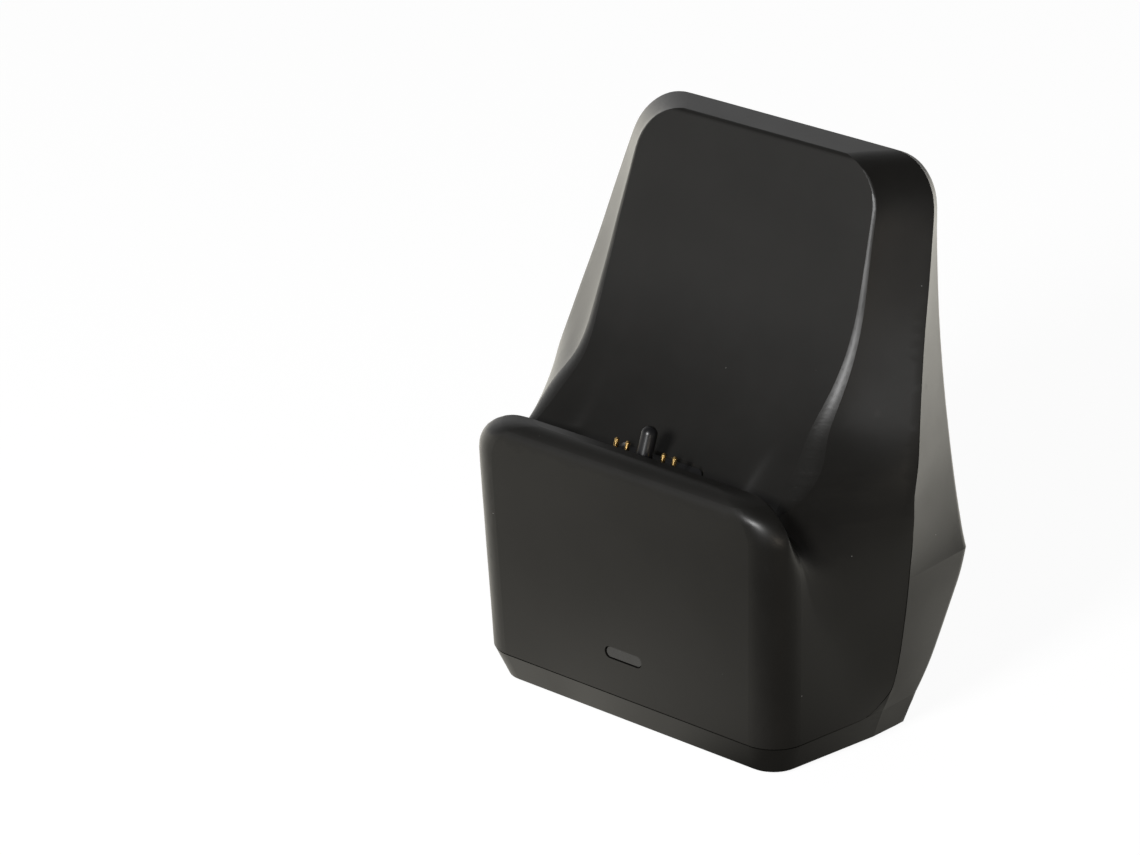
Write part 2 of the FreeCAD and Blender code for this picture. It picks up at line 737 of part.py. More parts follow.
def contact_prism(half, front, back, corner, low, high):
    """Upright bar in the contact frame with round rear corners, placed on the stand."""
    wire = rounded_wire([
        (Vector(-half, -front, low), 0.4), (Vector(half, -front, low), 0.4),
        (Vector(half, back, low), corner), (Vector(-half, back, low), corner)])
    bar = Part.Face(wire).extrude(Vector(0, 0, high - low))
    bar.Placement = contact_place()
    return bar


# Shells

def cover_bosses():
    """Screw bosses of the front cover, each tied to the side wall by a rib."""
    inside = hollow_form(size("wall") / 2)
    low = size("skirt_top") + size("piece_gap")
    top = size("cover_boss_top")
    bosses = []
    for spot in cover_screw_spots():
        post = upright(size("cover_boss_radius"), low, top, spot)
        outward = math.copysign(FAR, spot[0])
        rib = Part.makeBox(FAR, size("wall"), top - low, Vector(min(spot[0], spot[0] + outward),
                           spot[1] - size("wall") / 2, low))
        bosses.append(post.fuse(rib).common(inside))
    return bosses


def block_bosses():
    """Bosses under the trough that the contact block is screwed to."""
    inside = hollow_form(size("wall") / 2)
    bosses = []
    for x in (-size("block_screw_half"), size("block_screw_half")):
        low = -flange_top()
        post = Part.makeCylinder(size("standoff_radius") - 0.3, FAR / 6, Vector(x, size("block_screw_back"), low))
        post.Placement = contact_place()
        bosses.append(post.common(inside))
    return bosses


def cover_openings():
    """Window slot, contact opening and screw holes of the front cover."""
    gap = size("piece_gap")
    z = size("window_height")
    cuts = [pill(size("window_half") + gap, size("window_thick") + 2 * gap, FRONT_Y - FAR / 10,
                 FRONT_Y + size("wall") + 2, z)]
    cuts.append(contact_prism(size("plate_half") + gap, size("plate_front") + gap, size("plate_back") + gap,
                              size("plate_corner") + gap, -size("block_depth"), size("post_rise")))
    for spot in cover_screw_spots():
        radius = size("cover_screw_radius") + size("slide_gap")
        cuts.append(upright(radius, 0, size("cover_screw_seat") + size("cover_screw_length") + 1, spot))
    for x in (-size("block_screw_half"), size("block_screw_half")):
        hole = Part.makeCylinder(size("block_screw_radius") + size("slide_gap"), size("block_screw_length") + 0.3,
                                 Vector(x, size("block_screw_back"), -flange_top() - size("flange_thick")))
        hole.Placement = contact_place()
        cuts.append(hole)
    return cuts


def front_cover_shape():
    shell = cover_form().cut(hollow_form(size("wall")))
    shell = shell.fuse(cover_bosses() + block_bosses())
    return shell.cut(cover_openings()).removeSplitter()


def floor_fittings():
    """Standoffs and screw bosses that rise from the floor."""
    low = size("foot_height") + size("wall") / 2
    fittings = []
    for spot in board_screw_spots():
        fittings.append(upright(size("standoff_radius"), low, size("main_board_height"), spot))
    for spot in cover_screw_spots():
        fittings.append(upright(size("cover_boss_radius") + 1, low, size("skirt_top"), spot))
    return fittings


def rear_openings():
    """Screw holes, foot recesses and the opening for the charging socket."""
    cuts = []
    for spot in board_screw_spots():
        top = size("main_board_height")
        depth = size("board_screw_length") - size("board_thick") + size("piece_gap")
        cuts.append(upright(size("board_screw_radius") + size("slide_gap"), top - depth, top + 1, spot))
    for spot in cover_screw_spots():
        cuts.append(upright(size("cover_screw_radius") + size("piece_gap"), 0, size("skirt_top") + 1, spot))
        cuts.append(upright(size("cover_screw_head") + size("piece_gap"), 0, size("cover_screw_seat"), spot))
    for spot in foot_spots():
        cuts.append(upright(size("foot_radius") + 0.1, 0, size("foot_height") + size("foot_sink"), spot))
    board_top = size("main_board_height") + size("board_thick")
    half = size("socket_half") + size("inlet_margin")
    high = size("socket_height") + 2 * size("inlet_margin")
    cuts.append(pill(half, high, FRONT_Y + size("main_board_front") + size("main_board_length") + 1, FAR / 2,
                     board_top + size("socket_height") / 2))
    return cuts


def rear_shell_shape():
    shell = rear_block()
    for hollow in rear_hollows():
        shell = shell.cut(hollow)
    shell = shell.fuse(floor_fittings())
    return shell.cut(rear_openings()).removeSplitter()


def add_shape(label, shape):
    piece = DOC.addObject("Part::Feature", label)
    piece.Shape = shape
    piece.Label = label
    return piece


# Pieces made from bound features

def bind(thing, **expressions):
    """Binds properties of a document object to expressions of the sheet's names."""
    for name, expression in expressions.items():
        thing.setExpression(name.replace("__", "."), expression)
    return thing


def box(label, length, width, height, x, y, z):
    thing = DOC.addObject("Part::Box", label)
    return bind(thing, Length=length, Width=width, Height=height,
                Placement__Base__x=x, Placement__Base__y=y, Placement__Base__z=z)


def cylinder(label, radius, height, x, y, z):
    thing = DOC.addObject("Part::Cylinder", label)
    return bind(thing, Radius=radius, Height=height,
                Placement__Base__x=x, Placement__Base__y=y, Placement__Base__z=z)


def joined(label, pieces):
    thing = DOC.addObject("Part::MultiFuse", label)
    thing.Shapes = pieces
    return thing


def cut_away(label, base, tools):
    thing = DOC.addObject("Part::Cut", label)
    thing.Base = base
    thing.Tool = tools[0] if len(tools) == 1 else joined(label + "_tools", tools)
    return thing


SETBACK = "(Sizes.lip_overhang - Sizes.stand_depth / 2)"


def number(expression):
    """Present value of an expression of the sheet's names."""
    return float(SHEET.evalExpression(expression))


def plane(body, role):
    return next(part for part in body.Origin.OriginFeatures if part.Role == role)


def fix_vertex(sketch, line, direction, expression):
    """Holds the start of a line at a distance from the sketch's origin, or on an axis for "0"."""
    if expression == "0":
        axis = -2 if direction == "X" else -1
        sketch.addConstraint(Sketcher.Constraint("PointOnObject", line, 1, axis))
        return
    kind = "Distance" + direction
    place = sketch.addConstraint(Sketcher.Constraint(kind, -1, 1, line, 1, number(expression)))
    sketch.setExpression(f"Constraints[{place}]", expression)


def turned_body(label, profile):
    """Body turned about its Z axis from a profile of (radius, height) expressions; "0" lies on an axis."""
    body = DOC.addObject("PartDesign::Body", label)
    sketch = body.newObject("Sketcher::SketchObject", label + "_profile")
    sketch.AttachmentSupport = [(plane(body, "XZ_Plane"), "")]
    sketch.MapMode = "FlatFace"
    corners = [(number(r), number(z)) for r, z in profile]
    for start, end in zip(corners, corners[1:] + corners[:1]):
        sketch.addGeometry(Part.LineSegment(Vector(*start, 0), Vector(*end, 0)))
    count = len(profile)
    for place in range(count):
        sketch.addConstraint(Sketcher.Constraint("Coincident", place, 2, (place + 1) % count, 1))
    for place, (r, z) in enumerate(profile):
        fix_vertex(sketch, place, "X", r)
        fix_vertex(sketch, place, "Y", z)
    turn = body.newObject("PartDesign::Revolution", label + "_turn")
    turn.Profile = sketch
    turn.ReferenceAxis = (sketch, ["V_Axis"])
    turn.Angle = 360
    DOC.recompute()
    return body


def screw(label, kind):
    """One screw with its head's face at the origin and its thread along +Z."""
    head = f"Sizes.{kind}_head"
    head_height = f"Sizes.{kind}_head_height"
    thread = f"Sizes.{kind}_radius"
    length = f"({head_height} + Sizes.{kind}_length)"
    return turned_body(label, [
        ("0", "0"), (head, "0"), (head, head_height), (thread, head_height), (thread, length), ("0", length)])


def set_of_screws(label, kind, places):
    pattern = screw(kind + "_pattern", kind)
    copies = []
    for place in places:
        copy = pattern.Shape.copy()
        copy.Placement = place
        copies.append(copy)
    return add_shape(label, Part.makeCompound(copies))


def cover_screws():
    z = size("cover_screw_seat") - size("cover_screw_head_height")
    return set_of_screws("cover_screws", "cover_screw",
                         [Placement(Vector(x, y, z), Rotation()) for x, y in cover_screw_spots()])


def board_screws():
    z = size("main_board_height") + size("board_thick") + size("board_screw_head_height")
    down = Rotation(Vector(1, 0, 0), 180)
    return set_of_screws("board_screws", "board_screw",
                         [Placement(Vector(x, y, z), down) for x, y in board_screw_spots()])


def block_screws():
    low = -flange_top() - size("flange_thick") - size("block_screw_head_height")
    half = size("block_screw_half")
    spots = [Vector(x, size("block_screw_back"), low) for x in (-half, half)]
    return set_of_screws("block_screws", "block_screw",
                         [contact_place().multiply(Placement(spot, Rotation())) for spot in spots])


# Contacts

def contact_block():
    """Insert in the trough: its top follows the trough, its flange lies under the cover, and it carries the post."""
    low = -size("block_depth")
    body = contact_prism(size("plate_half"), size("plate_front"), size("plate_back"), size("plate_corner"),
                         low, size("post_rise"))
    body = body.cut(cradle(size("plate_drop")))
    flange = contact_prism(size("flange_half"), size("plate_front"), size("flange_back"), size("plate_corner"),
                           -flange_top() - size("flange_thick"), -flange_top())
    radius = size("post_radius")
    post = Part.makeCylinder(radius, size("post_rise") - radius - low, Vector(0, 0, low))
    tip = Part.makeSphere(radius, Vector(0, 0, size("post_rise") - radius))
    post = post.fuse(tip)
    post.Placement = contact_place()
    holes = []
    for x in pin_places():
        holes.append(Part.makeCylinder(size("barrel_radius") + size("slide_gap"), FAR / 6, Vector(x, 0, low)))
    for x in (-size("block_screw_half"), size("block_screw_half")):
        holes.append(Part.makeCylinder(size("block_screw_radius") + size("piece_gap"), size("block_depth"),
                                       Vector(x, size("block_screw_back"), low)))
    for hole in holes:
        hole.Placement = contact_place()
    return add_shape("contact_block", body.fuse([flange, post]).cut(holes).removeSplitter())


def contact_pin(order, x):
    pin = "Sizes.pin_radius"
    collar = "Sizes.collar_radius"
    length = "(Sizes.pin_rise + Sizes.pin_foot)"
    body = turned_body(f"contact_pin_{order}", [
        ("0", "0"), (collar, "0"), (collar, "Sizes.collar_height"), (pin, "Sizes.collar_height"),
        (pin, f"{length} - {pin} * 0.8"), (f"{pin} * 0.8", f"{length} - {pin} * 0.3"),
        (f"{pin} * 0.4", length), ("0", length)])
    body.Placement = contact_place().multiply(Placement(Vector(x, 0, -size("pin_foot")), Rotation()))
    return body


BARREL_TOP = "((Sizes.contact_rise + Sizes.plate_drop) / cos(Sizes.contact_lean) + Sizes.barrel_sink)"


def pin_barrel(order, x):
    outer = "Sizes.barrel_radius"
    tail = "Sizes.tail_length"
    top = f"(Sizes.tail_length + Sizes.block_depth - {BARREL_TOP})"
    neck = "(Sizes.pin_radius + Sizes.slide_gap)"
    bore = "(Sizes.collar_radius + Sizes.slide_gap)"
    floor = f"({tail} + Sizes.barrel_end)"
    body = turned_body(f"pin_barrel_{order}", [
        ("0", "0"), ("Sizes.tail_radius", "0"), ("Sizes.tail_radius", tail), (outer, tail), (outer, top),
        (neck, top), (neck, f"{top} - Sizes.barrel_end"), (bore, f"{top} - Sizes.barrel_end"),
        (bore, floor), ("0", floor)])
    low = -size("block_depth") - size("tail_length")
    body.Placement = contact_place().multiply(Placement(Vector(x, 0, low), Rotation()))
    return body


def spring_section(turn, z):
    """Square section of the spring wire at a turn angle and height."""
    wire = size("spring_wire")
    outward = Vector(math.cos(turn), math.sin(turn), 0)
    inner = outward * (size("spring_radius") - wire)
    outer = outward * (size("spring_radius") + wire)
    low = Vector(0, 0, z - wire)
    high = Vector(0, 0, z + wire)
    return Part.makePolygon([inner + low, outer + low, outer + high, inner + high, inner + low])


def pin_spring(order, x):
    """Coil of flat wire between the barrel's closed end and the pin's collar."""
    low = size("barrel_end") - size("block_depth") + size("spring_wire")
    height = -size("pin_foot") - size("spring_wire") - low
    steps = round(8 * size("spring_turns"))
    sections = [spring_section(math.radians(45) * step, height * step / steps) for step in range(steps + 1)]
    spring = add_shape(f"pin_spring_{order}", Part.makeLoft(sections, True, True))
    spring.Placement = contact_place().multiply(Placement(Vector(x, 0, low), Rotation()))
    return spring


def contact_board():
    half = "Sizes.contact_board_half"
    base = box("contact_board_plate", f"2 * {half}", "Sizes.contact_board_back + Sizes.contact_board_front",
               "Sizes.board_thick", f"-{half}", "-Sizes.contact_board_front", "-Sizes.block_depth - Sizes.board_thick")
    holes = []
    for order, x in enumerate(("-Sizes.pin_outer", "-Sizes.pin_inner", "Sizes.pin_inner", "Sizes.pin_outer"), 1):
        holes.append(cylinder(f"contact_board_hole_{order}", "Sizes.tail_radius + Sizes.slide_gap",
                              "4 * Sizes.board_thick", x, "0", "-Sizes.block_depth - 2 * Sizes.board_thick"))
    board = cut_away("contact_board", base, holes)
    board.Placement = contact_place()
    return board


# Main board, charging socket and light

def main_board():
    half = "Sizes.main_board_half"
    base = box("main_board_plate", f"2 * {half}", "Sizes.main_board_length", "Sizes.board_thick",
               f"-{half}", f"{SETBACK} + Sizes.main_board_front", "Sizes.main_board_height")
    holes = []
    for row in ("front", "back"):
        for sign in ("-", ""):
            holes.append(cylinder(f"main_board_hole_{len(holes) + 1}", "Sizes.board_screw_radius + Sizes.piece_gap",
                                  "4 * Sizes.board_thick", f"{sign}Sizes.standoff_half",
                                  f"{SETBACK} + Sizes.standoff_{row}",
                                  "Sizes.main_board_height - Sizes.board_thick"))
    return cut_away("main_board", base, holes)


BOARD_TOP = "(Sizes.main_board_height + Sizes.board_thick)"
SOCKET_FRONT = (f"({SETBACK} + Sizes.main_board_front + Sizes.main_board_length"
                " + Sizes.socket_overhang - Sizes.socket_length)")


def socket_shell():
    sheet = "Sizes.socket_sheet"
    outside = box("socket_outside", "2 * Sizes.socket_half", "Sizes.socket_length", "Sizes.socket_height",
                  "-Sizes.socket_half", SOCKET_FRONT, BOARD_TOP)
    inside = box("socket_inside", f"2 * Sizes.socket_half - 2 * {sheet}", "Sizes.socket_length",
                 f"Sizes.socket_height - 2 * {sheet}", f"{sheet} - Sizes.socket_half",
                 f"{SOCKET_FRONT} + {sheet}", f"{BOARD_TOP} + {sheet}")
    return cut_away("socket_shell", outside, [inside])


def socket_tongue():
    return box("socket_tongue", "2 * Sizes.tongue_half", "Sizes.tongue_length", "Sizes.tongue_thick",
               "-Sizes.tongue_half", f"{SOCKET_FRONT} + Sizes.socket_sheet",
               f"{BOARD_TOP} + (Sizes.socket_height - Sizes.tongue_thick) / 2")


def status_led():
    middle = f"({SETBACK} + Sizes.guide_back - Sizes.guide_thick / 2)"
    return box("status_led", "2 * Sizes.lamp_half", "Sizes.lamp_depth", "Sizes.lamp_height",
               "-Sizes.lamp_half", f"{middle} - Sizes.lamp_depth / 2", BOARD_TOP)


def light_guide():
    """Clear bar that carries the lamp's light up to the window in the front face."""
    z = size("window_height")
    back = FRONT_Y + size("guide_back")
    bar = pill(size("window_half"), size("window_thick"), front_face_y(z) + size("window_sink"), back, z)
    low = size("main_board_height") + size("board_thick") + size("lamp_height") + size("guide_clear")
    leg = Part.makeBox(2 * size("guide_half"), size("guide_thick"), z - low,
                       Vector(-size("guide_half"), back - size("guide_thick"), low))
    return add_shape("light_guide", bar.fuse(leg).removeSplitter())


def link_wires():
    """Two leads from the contact board down to the main board."""
    leave = contact_place().multVec(Vector(0, size("contact_board_back") - 1,
                                           -size("block_depth") - size("board_thick")))
    along = contact_place().Rotation.multVec(Vector(0, 0, -1))
    landing = side(FRONT_Y + size("wire_setback"), size("main_board_height") + size("board_thick"))
    bend_high = leave + along * size("wire_drop")
    bend_low = side(landing.y, landing.z + size("wire_rise"))
    upper = turned_corner(leave, bend_high, bend_low, size("wire_bend"))
    lower = turned_corner(bend_high, bend_low, landing, size("wire_sweep"))
    path = Part.Wire([
        Part.LineSegment(leave, upper[0]).toShape(), Part.Arc(*upper).toShape(),
        Part.LineSegment(upper[2], lower[0]).toShape(), Part.Arc(*lower).toShape(),
        Part.LineSegment(lower[2], landing).toShape()])
    ring = Part.Wire([Part.makeCircle(size("wire_radius"), leave, along)])
    lead = path.makePipeShell([ring], True, False)
    leads = []
    for x in (-size("wire_half"), size("wire_half")):
        copy = lead.copy()
        copy.translate(Vector(x, 0, 0))
        leads.append(copy)
    return add_shape("link_wires", Part.makeCompound(leads))


def foot(order, spot):
    radius = "Sizes.foot_radius"
    height = "(Sizes.foot_height + Sizes.foot_sink)"
    body = turned_body(f"foot_{order}", [
        ("0", "0"), (f"{radius} - Sizes.foot_height / 2", "0"), (radius, "Sizes.foot_height / 2"),
        (radius, height), ("0", height)])
    body.Placement = Placement(Vector(spot[0], spot[1], 0), Rotation())
    return body


def build():
    pieces = [add_shape("front_cover", front_cover_shape()), add_shape("rear_shell", rear_shell_shape())]
    pieces += [contact_block(), contact_board(), main_board(), socket_shell(), socket_tongue()]
    pieces += [status_led(), light_guide(), link_wires(), cover_screws(), board_screws(), block_screws()]
    for order, x in enumerate(pin_places(), start=1):
        pieces += [contact_pin(order, x), pin_barrel(order, x), pin_spring(order, x)]
    for order, spot in enumerate(foot_spots(), start=1):
        pieces.append(foot(order, spot))
    return pieces


def check(pieces):
    """Stops at anything that didn't compute or isn't a sound solid."""
    for thing in DOC.Objects:
        if "Invalid" in thing.State or "Error" in thing.State:
            raise RuntimeError(f"{thing.Name} did not compute")
    for piece in pieces:
        shape = piece.Shape
        if shape.isNull() or not shape.isValid() or not shape.Solids:
            raise RuntimeError(f"{piece.Label} is not a sound solid")


PIECES = build()
DOC.recompute()
check(PIECES)
os.makedirs("parts", exist_ok=True)
for finished in PIECES:
    finished.Shape.exportStep(f"parts/{finished.Label}.step")
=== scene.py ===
import json

import bmesh
import bpy
import numpy as np
from mathutils import Matrix, Vector

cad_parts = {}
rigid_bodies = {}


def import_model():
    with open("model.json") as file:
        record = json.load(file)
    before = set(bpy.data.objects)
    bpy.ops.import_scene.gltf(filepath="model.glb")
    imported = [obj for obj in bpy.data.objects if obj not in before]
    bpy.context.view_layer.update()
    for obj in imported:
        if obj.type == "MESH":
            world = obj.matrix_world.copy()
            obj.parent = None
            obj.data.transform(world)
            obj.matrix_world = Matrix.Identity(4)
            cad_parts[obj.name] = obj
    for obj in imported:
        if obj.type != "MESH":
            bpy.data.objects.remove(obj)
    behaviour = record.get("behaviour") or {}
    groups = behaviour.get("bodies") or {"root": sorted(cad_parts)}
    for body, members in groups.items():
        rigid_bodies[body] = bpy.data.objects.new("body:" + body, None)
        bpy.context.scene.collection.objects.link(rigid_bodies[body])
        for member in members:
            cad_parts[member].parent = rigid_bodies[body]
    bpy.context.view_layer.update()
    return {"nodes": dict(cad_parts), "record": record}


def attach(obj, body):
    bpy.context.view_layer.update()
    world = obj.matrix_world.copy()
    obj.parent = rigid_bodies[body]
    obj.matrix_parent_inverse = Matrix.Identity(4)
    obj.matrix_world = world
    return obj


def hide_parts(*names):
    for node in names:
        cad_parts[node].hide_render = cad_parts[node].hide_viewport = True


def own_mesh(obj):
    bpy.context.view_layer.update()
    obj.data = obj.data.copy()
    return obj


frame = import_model()
NODES = frame["nodes"]
MM = 0.001
MICROMETRE = 1e-6
WHITE = (1.0, 1.0, 1.0)


def placed(name, data):
    """A new object in the scene."""
    thing = bpy.data.objects.new(name, data)
    bpy.context.scene.collection.objects.link(thing)
    return thing


# Node helpers

# Sockets of a mix node for each kind: its two values and its result
MIX_SOCKETS = {"FLOAT": (2, 3, 0), "RGBA": (6, 7, 2)}
# Share of a speck's radius that is solid, before its edge fades
SPECK_CORE = 0.6


class NodeTree:
    """Small wrapper round a node tree."""

    def __init__(self, tree):
        self.tree = tree

    def add(self, kind, **settings):
        node = self.tree.nodes.new(kind)
        for key, value in settings.items():
            setattr(node, key, value)
        return node

    def feed(self, socket, value):
        """Links an output to a socket, or sets a constant on it."""
        if isinstance(value, bpy.types.NodeSocket):
            self.tree.links.new(value, socket)
        elif socket.type == "RGBA":
            socket.default_value = (*value, 1.0)
        else:
            socket.default_value = value

    def spread(self, value, span, target):
        """Takes a value from one range to another, and holds it at the ends."""
        node = self.add("ShaderNodeMapRange", clamp=True)
        self.feed(node.inputs["Value"], value)
        for name, number in zip(("From Min", "From Max", "To Min", "To Max"), (*span, *target)):
            self.feed(node.inputs[name], number)
        return node.outputs["Result"]

    def math(self, operation, *values):
        node = self.add("ShaderNodeMath", operation=operation)
        for socket, value in zip(node.inputs, values):
            self.feed(socket, value)
        return node.outputs["Value"]

    def vector(self, operation, output, *values):
        node = self.add("ShaderNodeVectorMath", operation=operation)
        for socket, value in zip(node.inputs, values):
            self.feed(socket, value)
        return node.outputs[output]

    def along(self, direction, axis, span, target):
        """A value that runs from one number to another with a direction's reach along an axis."""
        return self.spread(self.vector("DOT_PRODUCT", "Value", direction, axis), span, target)

    def mix(self, share, first, second, kind="RGBA"):
        node = self.add("ShaderNodeMix", data_type=kind)
        first_socket, second_socket, result = MIX_SOCKETS[kind]
        self.feed(node.inputs["Factor"], share)
        self.feed(node.inputs[first_socket], first)
        self.feed(node.inputs[second_socket], second)
        return node.outputs[result]


class Shader(NodeTree):
    """A material with one surface, placed by the object's own coordinates."""

    def __init__(self, name):
        self.material = bpy.data.materials.new(name)
        self.material.use_nodes = True
        super().__init__(self.material.node_tree)
        self.surface = self.tree.nodes["Principled BSDF"]
        self.place = self.add("ShaderNodeTexCoord").outputs["Object"]

    def noise(self, scale, detail=4.0, rough=0.55, stretch=None):
        source = self.place
        if stretch:
            mapping = self.add("ShaderNodeMapping")
            self.feed(mapping.inputs["Scale"], stretch)
            self.feed(mapping.inputs["Vector"], self.place)
            source = mapping.outputs["Vector"]
        node = self.add("ShaderNodeTexNoise")
        for name, value in (("Vector", source), ("Scale", scale), ("Detail", detail), ("Roughness", rough)):
            self.feed(node.inputs[name], value)
        return node.outputs["Fac"]

    def specks(self, scale, size, share):
        """Sparse small round dots: one in a few cells of a cell pattern."""
        cells = self.add("ShaderNodeTexVoronoi", feature="F1")
        self.feed(cells.inputs["Vector"], self.place)
        self.feed(cells.inputs["Scale"], scale)
        dot = self.spread(cells.outputs["Distance"], (size * SPECK_CORE, size), (1.0, 0.0))
        split = self.add("ShaderNodeSeparateColor")
        self.feed(split.inputs["Color"], cells.outputs["Color"])
        chosen = self.math("GREATER_THAN", split.outputs["Red"], 1.0 - share)
        return self.math("MULTIPLY", dot, chosen)

    def bump(self, height, strength, depth):
        """Fine relief, with its depth in micrometres."""
        node = self.add("ShaderNodeBump")
        for name, value in (("Strength", strength), ("Distance", depth * MICROMETRE), ("Height", height)):
            self.feed(node.inputs[name], value)
        self.feed(self.surface.inputs["Normal"], node.outputs["Normal"])

    def set(self, **values):
        for name, value in values.items():
            self.feed(self.surface.inputs[name.replace("_", " ")], value)


# Materials

# Range that most of a noise pattern's values lie in
MIDDLE = (0.3, 0.7)
PLASTIC_IOR = 1.5
WINDOW_IOR = 1.49
# How far a matt surface's roughness goes to either side
MATT_RANGE = 0.06


def satin_shell():
    """Moulded black plastic with a fine satin grain, faint rubbed patches and a little dust."""
    made = Shader("satin_shell")
    patches = made.noise(scale=38.0, detail=5.0, rough=0.6)
    grain = made.noise(scale=5200.0, detail=2.0, rough=0.5)
    rubbed = made.spread(patches, (0.35, 0.7), (0.0, 1.0))
    base = made.mix(rubbed, (0.0085, 0.008, 0.007), (0.0115, 0.0108, 0.0096))
    dust = made.math("MAXIMUM", made.specks(scale=260.0, size=0.05, share=0.03),
                     made.specks(scale=620.0, size=0.07, share=0.012))
    base = made.mix(dust, base, (0.42, 0.42, 0.41))
    streaks = made.noise(scale=420.0, detail=3.0, rough=0.6, stretch=(1.0, 0.25, 0.7))
    scuff = made.spread(streaks, (0.68, 0.8), (0.0, 0.06))
    rough = made.math("ADD", made.spread(patches, (0.3, 0.75), (0.36, 0.43)), scuff)
    made.set(Base_Color=base, Roughness=rough, IOR=PLASTIC_IOR)
    made.bump(grain, strength=0.12, depth=40)
    return made.material


def contact_plastic():
    """Smoother black plastic of the insert and the guide post."""
    made = Shader("contact_plastic")
    patches = made.noise(scale=160.0, detail=4.0)
    base = made.mix(patches, (0.008, 0.008, 0.009), (0.014, 0.014, 0.015))
    base = made.mix(made.specks(scale=700.0, size=0.06, share=0.02), base, (0.3, 0.3, 0.3))
    made.set(Base_Color=base, Roughness=made.spread(patches, MIDDLE, (0.28, 0.36)), IOR=PLASTIC_IOR)
    made.bump(made.noise(scale=6000.0, detail=2.0), strength=0.06, depth=30)
    return made.material


def gold_plate():
    """Gold plating, a little darker and rougher in patches."""
    made = Shader("gold_plate")
    worn = made.noise(scale=900.0, detail=4.0)
    base = made.mix(made.spread(worn, (0.4, 0.7), (0.0, 1.0)), (0.80, 0.55, 0.22), (0.62, 0.38, 0.13))
    made.set(Base_Color=base, Metallic=1.0, Roughness=made.spread(worn, MIDDLE, (0.16, 0.3)))
    made.bump(made.noise(scale=9000.0, detail=2.0), strength=0.05, depth=20)
    return made.material


def smoked_window():
    """Dark window over the lamp."""
    made = Shader("smoked_window")
    cloud = made.noise(scale=300.0, detail=3.0)
    base = made.mix(cloud, (0.03, 0.03, 0.03), (0.045, 0.045, 0.044))
    rough = made.spread(cloud, MIDDLE, (0.22, 0.3))
    made.set(Base_Color=base, Roughness=rough, IOR=WINDOW_IOR, Coat_Weight=0.3)
    made.bump(made.noise(scale=4000.0, detail=2.0), strength=0.04, depth=30)
    return made.material


def metal(name, light, dark, rough):
    """Plated or drawn steel with fine streaks."""
    made = Shader(name)
    streak = made.noise(scale=1500.0, detail=3.0, rough=0.6, stretch=(1.0, 1.0, 0.2))
    base = made.mix(streak, light, dark)
    made.set(Base_Color=base, Metallic=1.0, Roughness=made.spread(streak, MIDDLE, rough))
    made.bump(streak, strength=0.05, depth=20)
    return made.material


def board_green():
    """Lacquered circuit board with the weave just showing."""
    made = Shader("board_green")
    weave = made.noise(scale=1200.0, detail=2.0, rough=0.5)
    base = made.mix(weave, (0.012, 0.07, 0.03), (0.02, 0.1, 0.045))
    made.set(Base_Color=base, Roughness=made.spread(weave, MIDDLE, (0.28, 0.4)), Coat_Weight=0.4)
    made.bump(weave, strength=0.08, depth=30)
    return made.material


def matt(name, dark, light, rough):
    """Matt rubber or sleeve with fine grain."""
    made = Shader(name)
    grain = made.noise(scale=2600.0, detail=4.0)
    base = made.mix(made.noise(scale=220.0, detail=3.0), dark, light)
    rough = made.spread(grain, MIDDLE, (rough - MATT_RANGE, rough + MATT_RANGE))
    made.set(Base_Color=base, Roughness=rough)
    made.bump(grain, strength=0.1, depth=40)
    return made.material


def lamp_lens():
    """Clear resin over the lamp, which isn't lit."""
    made = Shader("lamp_lens")
    cloud = made.noise(scale=800.0, detail=3.0)
    base = made.mix(cloud, (0.62, 0.62, 0.55), (0.72, 0.71, 0.62))
    made.set(Base_Color=base, Roughness=made.spread(cloud, MIDDLE, (0.12, 0.2)), Coat_Weight=0.5)
    return made.material


MATERIALS = {
    "satin_shell": satin_shell(),
    "contact_plastic": contact_plastic(),
    "gold_plate": gold_plate(),
    "smoked_window": smoked_window(),
    "bright_steel": metal("bright_steel", light=(0.62, 0.62, 0.63), dark=(0.5, 0.5, 0.51),
                          rough=(0.2, 0.34)),
    "spring_steel": metal("spring_steel", light=(0.42, 0.42, 0.44), dark=(0.32, 0.32, 0.33),
                          rough=(0.28, 0.42)),
    "board_green": board_green(),
    "wire_sleeve": matt("wire_sleeve", dark=(0.012, 0.012, 0.012), light=(0.02, 0.02, 0.02),
                        rough=0.5),
    "foot_rubber": matt("foot_rubber", dark=(0.014, 0.014, 0.014), light=(0.022, 0.022, 0.021),
                        rough=0.75),
    "lamp_lens": lamp_lens(),
}


def paint(thing, slot):
    thing.data.materials.clear()
    thing.data.materials.append(MATERIALS[slot])


for part in frame["record"]["subparts"]:
    paint(NODES[part["node"]], part["material_slot"])


# Sides of the two shells, brought to the photograph's outline. Lengths are in millimetres.

# Lip: its top, the rounding of its ends and how much wider than tall that is, the rounding of its front edge
# and the solid's own, and its front and back
LIP_HEIGHT = 62.0
LIP_END_ROUND = 9.0
LIP_END_SPREAD = 1.3
LIP_FRONT_ROUND = 4.2
LIP_CAD_ROUND = 2.0
LIP_FRONT_Y = -26.0
LIP_BACK_Y = -21.0
# Where the lip's ends pass into the trough's, ahead of and behind the lip's back. Below the crease's top, the
# second place moves backwards.
LIP_BLEND = (-3.0, 2.0)
CREASE_TOP = 56.0
CREASE_SLOPE = 0.8
# Ends of trough and rest, as pairs of height and amount: how far they are drawn in, and how far they curl
# forward, which starts and ends at these distances from the middle
REST_ENDS_IN = ((36, 0.0), (44, 0.8), (50, 3.2), (56, 8.2), (60, 9.3), (64, 8.2), (70, 6.0), (76, 4.4),
                (85, 3.1), (96, 1.8), (104, 1.2), (110, 0.7), (118, 0.2), (122, 0.0))
REST_ENDS_AHEAD = ((50, 0.0), (57, 2.2), (61, 2.2), (66, 1.1), (74, 0.0))
CURL_SPAN = (20.0, 40.0)
